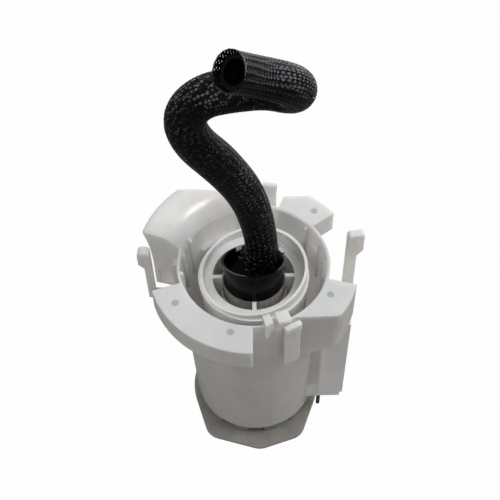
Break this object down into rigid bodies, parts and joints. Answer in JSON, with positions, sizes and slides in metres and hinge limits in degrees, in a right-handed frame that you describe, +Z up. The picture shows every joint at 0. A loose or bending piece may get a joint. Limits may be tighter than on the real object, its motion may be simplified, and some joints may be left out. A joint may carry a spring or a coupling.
{
  "type": "fuel pump module",
  "caption": "In-tank fuel pump module: electric pump in a swirl pot with snap-hook collar, lobed foot, sender plate and a braided outlet hose folded over at its open end.",
  "frame": {"origin": "on the pot's axis at the underside of the foot", "axes": "+Z up along the pot's axis, -Y towards the viewer and the collar's front gap, +X to the sender plate"},
  "size_m": [0.1516, 0.1338, 0.3868],
  "materials": {
    "pot_plastic": "satin, slightly translucent",
    "foot_plastic": "satin, slightly translucent",
    "holder_plastic": "satin",
    "plate_plastic": "satin",
    "valve_rubber": "smooth",
    "isolator_rubber": "grainy foam rubber",
    "can_steel": "plated",
    "housing_plastic": "glass filled",
    "impeller_plastic": "phenolic",
    "bearing_bronze": "sintered",
    "shaft_steel": "ground",
    "core_steel": "stacked sheets",
    "winding_copper": "enamelled wire",
    "magnet_ferrite": "sintered",
    "brush_carbon": "pressed carbon",
    "spring_steel": "wire",
    "ball_steel": "polished",
    "terminal_brass": "tinned",
    "cap_plastic": "gloss black",
    "filter_plastic": "satin",
    "filter_cloth": "fine woven mesh",
    "card_ceramic": "glazed ceramic",
    "pin_steel": "dark",
    "hose_rubber": "ribbed",
    "sleeve_braid": "braided monofilament",
    "clamp_steel": "bright"
  },
  "bodies": {
    "module": {"reservoir_pot": "pot_plastic", "base_foot": "foot_plastic", "pump_holder": "holder_plastic", "holder_collar": "holder_plastic", "rubber_isolator": "isolator_rubber", "pump_can": "can_steel", "inlet_cover": "housing_plastic", "chamber_plate": "housing_plastic", "lower_bearing": "bearing_bronze", "upper_bearing": "bearing_bronze", "stator_magnets": "magnet_ferrite", "flux_ring": "core_steel", "outlet_cover": "housing_plastic", "brush_spring_left": "spring_steel", "brush_spring_right": "spring_steel", "pump_terminals": "terminal_brass", "check_spring": "spring_steel", "check_retainer": "filter_plastic", "relief_spring": "spring_steel", "relief_plug": "bearing_bronze", "pump_cap": "cap_plastic", "filter_frame": "filter_plastic", "filter_mesh": "filter_cloth", "sender_plate": "plate_plastic", "resistor_card": "card_ceramic", "guide_pin": "pin_steel", "outlet_hose": "hose_rubber", "hose_cuff": "hose_rubber", "hose_sleeve": "sleeve_braid", "hose_clamp": "clamp_steel"},
    "rotor": {"rotor_shaft": "shaft_steel", "impeller": "impeller_plastic", "thrust_washer": "impeller_plastic", "armature_core": "core_steel", "armature_windings": "winding_copper", "commutator": "brush_carbon"},
    "left_brush": {"brush_left": "brush_carbon"},
    "right_brush": {"brush_right": "brush_carbon"},
    "outlet_valve": {"check_plunger": "filter_plastic"},
    "relief_valve": {"relief_ball": "ball_steel"},
    "foot_valve": {"foot_valve_disc": "valve_rubber"}
  },
  "joints": [
    {"name": "rotor_spin", "type": "hinge", "parent": "module", "child": "rotor", "pos_m": [0, 0, 0.0972], "axis": [0, 0, 1], "continuous": true},
    {"name": "left_brush_slide", "type": "slide", "parent": "module", "child": "left_brush", "axis": [0, 0, 1], "range_m": [0, 0.002], "stiffness_N_per_m": 400, "springref_m": -0.002, "deforming": ["brush_spring_left"]},
    {"name": "right_brush_slide", "type": "slide", "parent": "module", "child": "right_brush", "axis": [0, 0, 1], "range_m": [0, 0.002], "stiffness_N_per_m": 400, "springref_m": -0.002, "deforming": ["brush_spring_right"]},
    {"name": "outlet_valve_lift", "type": "slide", "parent": "module", "child": "outlet_valve", "axis": [0, 0, 1], "range_m": [0, 0.002], "stiffness_N_per_m": 300, "springref_m": -0.002, "deforming": ["check_spring"]},
    {"name": "relief_valve_lift", "type": "slide", "parent": "module", "child": "relief_valve", "axis": [0, 0, 1], "range_m": [0, 0.001], "stiffness_N_per_m": 1500, "springref_m": -0.002, "deforming": ["relief_spring"]},
    {"name": "foot_valve_lift", "type": "slide", "parent": "module", "child": "foot_valve", "axis": [0, 0, 1], "range_m": [0, 0.0015]}
  ]
}
